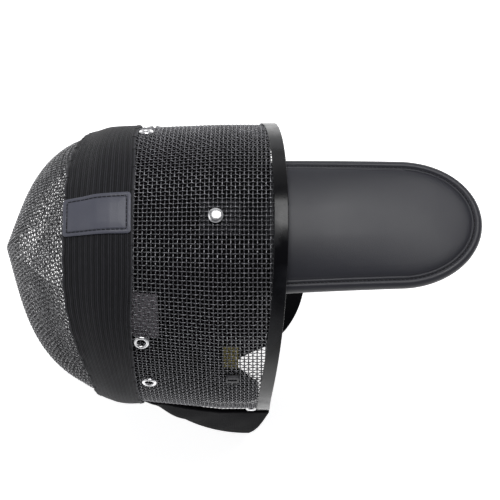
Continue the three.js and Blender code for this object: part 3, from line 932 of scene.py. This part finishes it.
strap = {
    "back": 0.109, "lowBack": 0.1115, "front": 0.159, "lowFront": 0.145, "lift": 0.003, "frontLift": 0.0012,
    "wall": 0.0014, "angle": 134, "width": 0.050, "columns": 260, "rows": 30, "bulge": 0.0018,
    "pucker": 0.00045, "puckerPitch": 0.021, "rounding": 0.0004,
    "frontTurn": (20, 80), "backTurn": (15, 38), "seamStep": (0.133, 0.148),
    "looseFrom": (62, 82), "looseTo": (96, 112),
    "areaShare": 0.83,              # of its full rectangle, because it narrows towards the jaw
}
patch = {
    "length": 0.048, "width": 0.031, "wall": 0.0012, "centreForward": 0.1345, "turn": 1.0, "shift": -0.0025,
    "border": 0.0030, "groove": 0.00045, "grooveWidth": 0.0006, "crown": 0.0003, "crownRun": 0.006,
    "corner": 0.0025, "edgeDrop": 0.0003, "edgeRun": 0.0009, "stitchSink": 0.00005, "cells": 2000,
}
patchStitch = {"radius": 0.00034, "length": 0.0021, "pitch": 0.0031}
strapStitch = {"radius": 0.0003, "length": 0.0030}


def strapForward(angle, share):     # share is 0 at the strap's back edge and 1 at its front edge
    front = lerp(strap["front"], strap["lowFront"], smooth(np.abs(angle), *strap["frontTurn"]))
    back = lerp(strap["back"], strap["lowBack"], smooth(np.abs(angle), *strap["backTurn"]))
    return lerp(back, front, share)


def strapLift(forward):
    return lerp(strap["lift"], strap["frontLift"], smooth(forward, *strap["seamStep"]))


def wrapStrap(points):
    angle = angleAt(points[:, 0])
    share = -points[:, 1] / strap["width"]
    forward = strapForward(angle, share)
    looser = smooth(np.abs(angle), *strap["looseFrom"]) * (1 - smooth(np.abs(angle), *strap["looseTo"]))
    bulge = strap["bulge"] * looser * np.sin(np.pi * np.clip(share * 1.4, 0, 1))
    wave = 0.5 - 0.5 * np.cos(2 * np.pi * points[:, 0] / strap["puckerPitch"])
    pucker = strap["pucker"] * wave * smooth(share, 0.8, 1.0)
    return onSkin(angle, forward + pucker, strapLift(forward) + bulge + pucker + points[:, 2])


def wrapPatch(points):
    turn = math.radians(patch["turn"])
    x = points[:, 0] * math.cos(turn) - points[:, 1] * math.sin(turn) + patch["shift"]
    y = points[:, 0] * math.sin(turn) + points[:, 1] * math.cos(turn)
    forward = patch["centreForward"] - y
    lift = strapLift(forward) + strap["wall"] + 0.0003 + points[:, 2]
    return onSkin(angleAt(x), forward, lift)


def makeStrap():
    half = distanceAt(strap["angle"])
    piece = flatGrid("elastic_band", strap["columns"], strap["rows"], 2 * half, strap["width"],
                     (0, -strap["width"] / 2, strap["wall"]))
    modify(piece, "SOLIDIFY", thickness=strap["wall"], offset=-1)
    keepFlatPlace(piece)
    roundCorners(piece, strap["rounding"], 2)
    shapeBy(piece, wrapStrap)
    smoothFaces(piece, 60)
    complete(piece, webbingFinish(strap["width"]), "elastic_webbing", "elastic_strap")
    return half


def makeStrapStitches(half):
    # short threads over the band's two edges hold it to the wires
    made = []
    count = int(half / strap["puckerPitch"])
    middle = strapStitch["length"] / 2
    for index in range(-count, count + 1):
        for edge, end in ((0.0012, "back"), (strap["width"] - 0.0012, "front")):
            stitch = rowOfStitches(f"thread_{end}_{index}", {**strapStitch, "pitch": strapStitch["length"]},
                                   strapStitch["length"], strap["wall"] + strapStitch["radius"] * 0.5)
            place = (index * strap["puckerPitch"], -edge, 0)
            shapeBy(stitch, lambda p: np.column_stack([p[:, 1], p[:, 0] - middle, p[:, 2]]) + place)
            made.append(stitch)
    piece = joined("band_threads", made)
    shapeBy(piece, wrapStrap)
    outwards()
    smoothFaces(piece, 70)
    complete(piece, darkThread, "elastic_webbing")


def makePatch():
    cuts = [int(side * patch["cells"]) for side in (patch["width"], patch["length"])]
    piece = flatGrid("leather_patch", *cuts, patch["width"], patch["length"], (0, 0, patch["wall"]))
    modify(piece, "SOLIDIFY", thickness=patch["wall"] * 0.8, offset=-1)

    def emboss(points):
        fromSide = patch["width"] / 2 - np.abs(points[:, 0])
        fromEnd = patch["length"] / 2 - np.abs(points[:, 1])
        edge = np.minimum(fromSide, fromEnd)
        top = points[:, 2] > patch["wall"] * 0.9
        groove = patch["groove"] * np.exp(-(((edge - patch["border"]) / patch["grooveWidth"]) ** 2))
        crown = patch["crown"] * smooth(edge, patch["border"], patch["border"] + patch["crownRun"])
        rounding = patch["edgeDrop"] * (1 - smooth(edge, 0, patch["edgeRun"]))
        lift = np.where(top, crown - groove - rounding, 0)
        radius = patch["corner"]
        pastSide, pastEnd = np.maximum(radius - fromSide, 0), np.maximum(radius - fromEnd, 0)
        corner = np.hypot(pastSide, pastEnd)
        pull = np.clip(1 - np.maximum(corner - radius, 0) / np.maximum(corner, 1e-9), 0, 1)
        inX = np.sign(points[:, 0]) * pastSide * (1 - pull) * (corner > radius)
        inY = np.sign(points[:, 1]) * pastEnd * (1 - pull) * (corner > radius)
        return points - np.column_stack([inX, inY, -lift])

    shapeBy(piece, emboss)
    shapeBy(piece, wrapPatch)
    smoothFaces(piece, 50)
    complete(piece, patchLeather, "patch_leather", "strap_patch")
    x, y = patch["width"] / 2 - patch["border"], patch["length"] / 2 - patch["border"]
    sewRow("patch_stitches", patchStitch, [(-x, -y), (x, -y), (x, y), (-x, y), (-x, -y)],
           patch["wall"] - patch["stitchSink"], wrapPatch, "patch_leather")


makeStrapStitches(makeStrap())
makePatch()
print("strap and patch sewn")

# tongue

tongue = {
    "frontForward": 0.014, "tipForward": -0.139, "frontHalfWidth": 0.050, "halfWidth": 0.0475,
    "capLength": 0.060, "thick": 0.008, "frontHeight": 0.277, "tipHeight": 0.270, "frontArch": 0.013,
    "tipArch": 0.002, "cuts": 260, "seamInset": 0.0058, "seamHeight": 0.00265, "corner": 0.006,
}
tongueStitch = {"radius": 0.00032, "length": 0.0020, "pitch": 0.0030}

# inset from the pad's edge and height above its middle, from under the pad round its edge to the top
tongueProfile = np.array([
    (0.0400, -0.0038), (0.0300, -0.0038), (0.0200, -0.0038), (0.0120, -0.0037), (0.0075, -0.0035),
    (0.0060, -0.0031), (0.0045, -0.0034), (0.0030, -0.0036), (0.0018, -0.0032), (0.0008, -0.0023),
    (0.0001, -0.0009), (0.0001, 0.0009), (0.0007, 0.0024), (0.0016, 0.0034), (0.0028, 0.0039),
    (0.0040, 0.0038), (0.0048, 0.0034), (0.0054, 0.0027), (0.0058, 0.0025), (0.0062, 0.0027),
    (0.0067, 0.0032), (0.0072, 0.0032), (0.0076, 0.0028), (0.0080, 0.0026), (0.0084, 0.0029),
    (0.0090, 0.0033), (0.0102, 0.0036), (0.0125, 0.0039), (0.0165, 0.0041), (0.0220, 0.0042),
    (0.0290, 0.0043), (0.0360, 0.0043), (0.0400, 0.0043),
])


def tongueOutline(count, inset=0.0):
    # from the middle of the front round the tip and back, as x and forward
    front, tip = tongue["frontForward"] - inset, tongue["tipForward"] + inset
    capStart = tongue["tipForward"] + tongue["capLength"]
    wide, narrow = tongue["frontHalfWidth"] - inset, tongue["halfWidth"] - inset
    corner = min(tongue["corner"], wide / 2)
    turn = np.linspace(0, np.pi, 181)
    bend = np.linspace(0, np.pi / 2, 12)
    cap = np.column_stack([narrow * np.cos(turn), capStart - (capStart - tip) * np.sin(turn)])
    left = np.column_stack([wide - corner + corner * np.sin(bend), front - corner + corner * np.cos(bend)])
    line = np.vstack([[(0, front)], left, cap, left[::-1] * [-1, 1], [(0, front)]])
    lengths = lengthsAlong(line)
    return at(np.linspace(0, lengths[-1], count + 1), lengths, line)


def tongueTop(x, forward):
    along = (tongue["frontForward"] - forward) / (tongue["frontForward"] - tongue["tipForward"])
    arch = lerp(tongue["frontArch"], tongue["tipArch"], along)
    return lerp(tongue["frontHeight"], tongue["tipHeight"], along**2) - arch * (x / tongue["halfWidth"]) ** 2


def layTongue(points):              # from the flat pad's x, -forward and height
    x, forward = points[:, 0], -points[:, 1]
    height = tongueTop(x, forward) - tongue["thick"] / 2 + points[:, 2]
    return np.column_stack([x, backEdgeY - forward, height])


def makeTongue():
    cuts, steps = tongue["cuts"], len(tongueProfile) - 1
    piece = flatGrid("tongue_pad", cuts, steps, cuts, steps, (cuts / 2, steps / 2, 0))
    rings = np.stack([tongueOutline(cuts, inset) for inset, _ in tongueProfile])

    def ringed(points):             # the strip's columns go round the pad and its rows follow the profile
        column, row = np.round(points[:, 0]).astype(int), np.round(points[:, 1]).astype(int)
        flat = rings[row, column]
        return np.column_stack([flat[:, 0], -flat[:, 1], tongueProfile[row, 1]])

    shapeBy(piece, ringed)
    editAll()
    bpy.ops.mesh.remove_doubles(threshold=0.000005)
    bpy.ops.mesh.fill_holes(sides=0)
    leaveEdit()
    outwards()
    keepFlatPlace(piece)
    shapeBy(piece, layTongue)
    smoothFaces(piece, 60)
    complete(piece, tongueLeather, "tongue_leather", "tongue")
    line = tongueOutline(400, tongue["seamInset"])
    sewRow("tongue_stitches", tongueStitch, np.column_stack([line[:, 0], -line[:, 1]]),
           tongue["seamHeight"], layTongue, "tongue_leather")


makeTongue()
print("tongue padded")

# padding and cloth seen through the wires

padding = {"lift": -0.0026, "wall": 0.0066, "rounding": 0.0026, "swell": 0.0008}


def softSheet(name, columns, rows, wall):
    piece = flatGrid(name, columns, rows, 1, 1, (0.5, 0.5, 0))
    modify(piece, "SOLIDIFY", thickness=wall, offset=-1)
    return piece


def makePad(name, node, columns, placeAt):
    # placeAt gives the angle, the forward distance and an extra depth for shares across and along
    piece = softSheet(name, columns, 28, padding["wall"])

    def wrap(points):
        u, v = points[:, 0], points[:, 1]
        fromEdge = np.minimum(np.minimum(u, 1 - u), np.minimum(v, 1 - v) * 0.8)
        rounded = 1 - smooth(fromEdge, 0, 0.07)
        depth = -points[:, 2]
        swell = padding["swell"] * np.sin(np.pi * u * 3) ** 2 * np.sin(np.pi * v) ** 2
        lift = padding["lift"] - depth - rounded * (padding["wall"] / 2 - depth) * 0.9 - swell * (depth > 0)
        angle, forward, dip = placeAt(u, v)
        return onSkin(angle, forward, lift - dip)

    shapeBy(piece, wrap)
    outwards()
    modify(piece, "SUBSURF", levels=1, render_levels=1)
    smoothFaces(piece, 60)
    complete(piece, paddingClothWithShade, "padding_cloth", node)


crownPad = {
    "halfAngle": 42.4, "back": 0.0122, "front": 0.114, "dip": 0.0084, "dipForward": (0.014, 0.036),
    "dipAngle": (7, 10),
}
cheekPad = {"top": 42.6, "low": 106, "back": 0.042, "lowBack": 0.0205, "front": 0.116, "turn": 53, "run": 17}


def crownPlace(u, v):               # the pad dips under the spring on its way to the tongue
    angle = lerp(-crownPad["halfAngle"], crownPad["halfAngle"], u)
    forward = lerp(crownPad["back"], crownPad["front"], v)
    pastDip = smooth(forward, *crownPad["dipForward"])
    besideDip = smooth(np.abs(angle), *crownPad["dipAngle"])
    return angle, forward, crownPad["dip"] * (1 - np.maximum(pastDip, besideDip))


def cheekPlace(sign):
    def place(u, v):
        angle = lerp(cheekPad["top"], cheekPad["low"], u)
        lowered = np.clip((angle - cheekPad["turn"]) / cheekPad["run"], 0, 1)
        back = lerp(cheekPad["back"], cheekPad["lowBack"], lowered)
        return sign * angle, lerp(back, cheekPad["front"], v), 0
    return place


makePad("crown_padding", "crown_pad", 68, crownPlace)
for sideName, sign in (("left", 1), ("right", -1)):
    makePad(f"cheek_padding_{sideName}", f"cheek_pad_{sideName}", 40, cheekPlace(sign))

tab = {"wall": 0.0007, "lift": -0.0013, "ripple": 0.0003}
liningPlace = {"angles": (24.5, 41.5), "forwards": (0.0925, 0.1125)}
yellowPlace = {"angles": (43.5, 55), "forwards": (0.0355, 0.0465)}


def makeTab(name, finish, place, *nodes):
    piece = softSheet(name, 20, 16, tab["wall"])

    def wrap(points):
        u, v = points[:, 0], points[:, 1]
        lift = tab["lift"] + points[:, 2] + tab["ripple"] * np.sin(7 * u + 5 * v)
        return onSkin(lerp(*place["angles"], u), lerp(*place["forwards"], v), lift)

    shapeBy(piece, wrap)
    outwards()
    smoothFaces(piece, 50)
    return complete(piece, finish, "pale_cloth", *nodes)


liningTab = makeTab("pale_lining_tab", paleCloth, liningPlace, "lining_tab")
yellowTab = makeTab("yellow_label", yellowCloth, yellowPlace)
print("padding made")

# bib

bib = {
    "cloth": 0.0026, "lift": 0.0035, "strapLift": 0.0022, "bulge": 0.003, "foldRadius": 0.0046,
    "sideTop": 0.109, "chinTop": 0.062, "chinTurn": 20, "sideTurn": 74, "topAngle": 100, "footAngle": 91,
    "centreForward": 0.030, "footForward": 0.118, "footHalfWidth": 0.1105,
    "tipForward": 0.039, "tipX": -0.035, "tipLength": 0.062, "tipHalfWidth": 0.075,
    "tipFrontAngle": 60, "tipSideAngle": 78, "skirt": 6, "fold": 4, "floor": 7, "columns": 180, "rowCuts": 5,
    "overBack": (0.096, 0.106), "overFront": (0.150, 0.162), "hemGap": 0.005,
    "wideFolds": 0.0016, "fineFolds": 0.0009,
    "pipingRadius": 0.0019, "pipingRise": 0.0030, "pipingCuts": 140,
}


def bibTop(turn):
    height = lerp(bib["chinTop"], bib["sideTop"], smooth(np.abs(turn), bib["chinTurn"], bib["sideTurn"]))
    starts = np.column_stack([0 * turn, 0 * turn + bib["centreForward"], height])
    angle = np.radians(turn)
    places = skinHits(starts, np.column_stack([np.sin(angle), np.cos(angle), 0 * angle]))
    overStrap = smooth(places[:, 1], *bib["overBack"]) * (1 - smooth(places[:, 1], *bib["overFront"]))
    lift = bib["lift"] + bib["strapLift"] * overStrap + bib["cloth"] / 2
    return toWorld(places) + skinNormals(places) * lift[:, None], skinNormals(places)


def bibMiddle(turn, row):           # the middle of the cloth; the row runs from the top edge to the end
    half = bib["cloth"] / 2
    footTurn = np.radians(turn * bib["footAngle"] / bib["topAngle"])
    foot = np.column_stack([bib["footHalfWidth"] * np.sin(footTurn),
                            bib["centreForward"] + bib["footForward"] * np.cos(footTurn)])
    top = bibTop(turn)[0]
    footPoint = toWorld(np.column_stack([foot, 0 * turn + half + bib["foldRadius"]]))
    t = np.clip(row / bib["skirt"], 0, 1)[:, None]
    out = np.column_stack([np.sin(np.radians(turn)), -np.cos(np.radians(turn)), 0 * turn])
    skirt = top * (1 - t) + footPoint * t + out * bib["bulge"] * np.sin(np.pi * t)
    folds = bib["wideFolds"] * np.sin(np.radians(turn) * 7 + 0.6) * np.sin(np.pi * t[:, 0]) ** 2
    folds += (bib["fineFolds"] * np.sin(np.radians(turn) * 17 + 2.0 * t[:, 0])
              * t[:, 0] * (1 - t[:, 0]) * 4)
    skirt += out * folds[:, None]
    inward = np.column_stack([-np.sin(footTurn), -np.cos(footTurn)])
    fold = np.clip((row - bib["skirt"]) / bib["fold"], 0, 1) * np.pi / 2
    inset = foot + inward * (bib["foldRadius"] * (1 - np.cos(fold)))[:, None]
    height = half + bib["foldRadius"] * (1 - np.sin(fold))
    tipTurn = np.radians(np.clip(turn / bib["tipFrontAngle"], -1, 1) * 90)
    tip = np.column_stack([bib["tipX"] + bib["tipHalfWidth"] * np.sin(tipTurn),
                           bib["tipForward"] - bib["tipLength"] * np.cos(tipTurn)])
    hem = np.column_stack([inset[:, 0] - np.where(turn < 0, -1, 1) * bib["hemGap"], inset[:, 1]])
    end = lerp(tip, hem, smooth(np.abs(turn), bib["tipFrontAngle"], bib["tipSideAngle"])[:, None])
    s = np.clip((row - bib["skirt"] - bib["fold"]) / bib["floor"], 0, 1)[:, None]
    floor = toWorld(np.column_stack([lerp(inset, end, s), height]))
    return np.where((row <= bib["skirt"])[:, None], skirt, floor)


def makeBib():
    rows = bib["skirt"] + bib["fold"] + bib["floor"]
    piece = flatGrid("bib_skirt", bib["columns"], rows * bib["rowCuts"], 2 * bib["topAngle"], rows,
                     (0, -rows / 2, 0))
    shapeBy(piece, lambda p: bibMiddle(p[:, 0], -p[:, 1]))
    modify(piece, "SOLIDIFY", thickness=bib["cloth"], offset=0)
    outwards()
    smoothFaces(piece, 60)
    complete(piece, bibCloth, "bib_cloth", "bib")
    return piece


bibPiece = makeBib()


def makePiping():
    clearSelection()
    turns = np.linspace(-bib["topAngle"] + 1, bib["topAngle"] - 1, bib["pipingCuts"])
    edge = bibMiddle(turns, 0 * turns)
    out = bibTop(turns)[1]
    up = edge - bibMiddle(turns, 0 * turns + 0.2)
    up += out * np.maximum(0, -(up * out).sum(1))[:, None]
    up /= np.linalg.norm(up, axis=1)[:, None]
    line = edge + up * bib["pipingRise"]
    radius = bib["pipingRadius"]
    bpy.ops.mesh.primitive_cylinder_add(vertices=14, radius=radius, depth=1, rotation=(0, math.pi / 2, 0))
    piece = named("bib_rolled_edge")
    roundCorners(piece, radius * 0.5, 2, 60)
    pickEdges(piece, lambda a, b: abs(a.x - b.x) > 0.5)
    bpy.ops.mesh.subdivide(number_cuts=len(line) - 2)
    leaveEdit()

    def wrap(points):
        place = (points[:, 0] + 0.5) * (len(line) - 1)
        stations = np.arange(len(line))
        here = at(place, stations, line)
        along = at(place, stations, np.gradient(line, axis=0))
        along /= np.linalg.norm(along, axis=1)[:, None]
        sideways = np.cross(along, [0, 0, 1])
        sideways /= np.linalg.norm(sideways, axis=1)[:, None]
        return here + sideways * points[:, 1:2] + np.cross(sideways, along) * points[:, 2:3]

    shapeBy(piece, wrap)
    outwards()
    smoothFaces(piece, 60)
    complete(piece, bibCloth, "bib_cloth", "bib_piping")


makePiping()
print("bib folded")

# rivets, eyelets and the clip

fastenings = {
    "segments": 40, "wiresAbove": 0.0008, "gap": 0.0003,
    "tongueRivet": {"radius": 0.0055, "height": 0.0024, "shank": 0.002, "tail": 0.006},
    "bibRivet": {"radius": 0.0043, "height": 0.0018, "shank": 0.0016, "tail": 0.0022},
    "ring": {"radius": 0.0056, "bore": 0.0032, "height": 0.0013},
    "tonguePlace": (0, 0.051), "bibPlace": (102.8, 0.0262),
    "ringPlaces": {"upper": (42.6, 0.105), "lower": (66.8, 0.102)},
}


def makeRivet(name, node, size, place, normal):
    clearSelection()
    bpy.ops.mesh.primitive_cylinder_add(
        vertices=fastenings["segments"], radius=size["radius"], depth=size["height"] * 0.3,
        location=(0, 0, size["height"] * 0.15))
    piece = named(name)
    pickFaces(piece, lambda centre, normal: normal.z > 0.9)
    for inset, rise in ((0.03, 0.12), (0.10, 0.2), (0.17, 0.18), (0.25, 0.13), (0.25, 0.06)):
        bpy.ops.mesh.inset(thickness=size["radius"] * inset, depth=size["height"] * rise)
    pickFaces(piece, lambda centre, normal: normal.z < -0.9)
    bpy.ops.mesh.inset(thickness=size["radius"] - size["shank"], depth=0)
    bpy.ops.mesh.extrude_region_move(TRANSFORM_OT_translate={"value": (0, 0, -size["tail"])})
    leaveEdit()
    return settle(piece, place, normal, node)


def settle(piece, place, normal, *nodes):
    turn = Vector((0, 0, 1)).rotation_difference(Vector(normal)).to_matrix()
    matrix = np.array(turn)
    shapeBy(piece, lambda p: p @ matrix.T + np.array(place))
    clearSelection()
    bpy.context.view_layer.objects.active = piece
    outwards()
    smoothFaces(piece, 35)
    return complete(piece, polishedMetal, "polished_metal", *nodes)


def onRing(angle, forward, lift):
    place = ringPlaces(angle, forward)
    normal = skinNormals(place)
    return (toWorld(place) + normal * lift)[0], normal[0]


def makeEyelet(name, node, place, normal):
    ring = fastenings["ring"]
    clearSelection()
    middle = (ring["radius"] + ring["bore"]) / 2
    bpy.ops.mesh.primitive_circle_add(
        vertices=14, radius=(ring["radius"] - ring["bore"]) / 2, rotation=(math.pi / 2, 0, 0),
        location=(middle, 0, 0))
    piece = named(name)
    shapeBy(piece, lambda p: p * [1, 1, 2 * ring["height"] / (ring["radius"] - ring["bore"])])
    editAll()
    bpy.ops.mesh.spin(steps=fastenings["segments"], angle=2 * math.pi, center=(0, 0, 0), axis=(0, 0, 1))
    bpy.ops.mesh.select_all(action="SELECT")
    bpy.ops.mesh.remove_doubles(threshold=0.00002)
    leaveEdit()
    shapeBy(piece, lambda p: np.column_stack([p[:, :2], np.where(p[:, 2] < 0, p[:, 2] * 2.2, p[:, 2])]))
    return settle(piece, place, normal, node)


seat = wire["sideLift"] + fastenings["wiresAbove"] + fastenings["gap"]
place, normal = onRing(*fastenings["tonguePlace"], seat)
makeRivet("tongue_rivet_head", "tongue_rivet", fastenings["tongueRivet"], place, normal)
for sideName, sign in (("left", 1), ("right", -1)):
    for level, (angle, forward) in fastenings["ringPlaces"].items():
        place, normal = onRing(sign * angle, forward, seat)
        makeEyelet(f"temple_ring_{sideName}_{level}", f"temple_eyelet_{sideName}_{level}", place, normal)
    angle, forward = fastenings["bibPlace"]
    place, normal = onRing(sign * angle, forward, seat)
    makeRivet(f"bib_rivet_head_{sideName}", f"bib_rivet_{sideName}", fastenings["bibRivet"], place, normal)

clip = {"length": 0.0094, "width": 0.0084, "wall": 0.0026, "slotLength": 0.0068, "slotWidth": 0.0016,
        "forward": 0.040, "angle": 58, "rounding": 0.0004}


def makeClip(name, node):
    clearSelection()
    bpy.ops.mesh.primitive_cube_add(size=1, location=(0, 0, clip["wall"] / 2),
                                    scale=(clip["width"], clip["length"], clip["wall"]))
    piece = named(name)
    pickFaces(piece, lambda centre, normal: normal.z > 0.9)
    bpy.ops.mesh.inset(thickness=(clip["length"] - clip["slotLength"]) / 2, depth=0)
    insideWidth = clip["width"] - clip["length"] + clip["slotLength"]
    bpy.ops.transform.resize(value=(clip["slotWidth"] / insideWidth, 1, 1))
    bpy.ops.mesh.extrude_region_move(TRANSFORM_OT_translate={"value": (0, 0, -clip["wall"] * 0.7)})
    leaveEdit()
    roundCorners(piece, clip["rounding"], 3)
    place, normal = onRing(clip["angle"], clip["forward"], seat)
    normal = Vector(normal)
    along = (Vector((0, 1, 0)) - normal * normal.y).normalized()
    matrix = np.array([along.cross(normal), along, normal])
    shapeBy(piece, lambda p: p @ matrix + place)
    smoothFaces(piece, 40)
    complete(piece, clipPlastic, "clip_plastic", node)


makeClip("wire_clip", "strap_clip")

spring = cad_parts["tongue_spring"]
spring.data.materials.clear()
spring.data.materials.append(springSteel)
print("fastenings set")
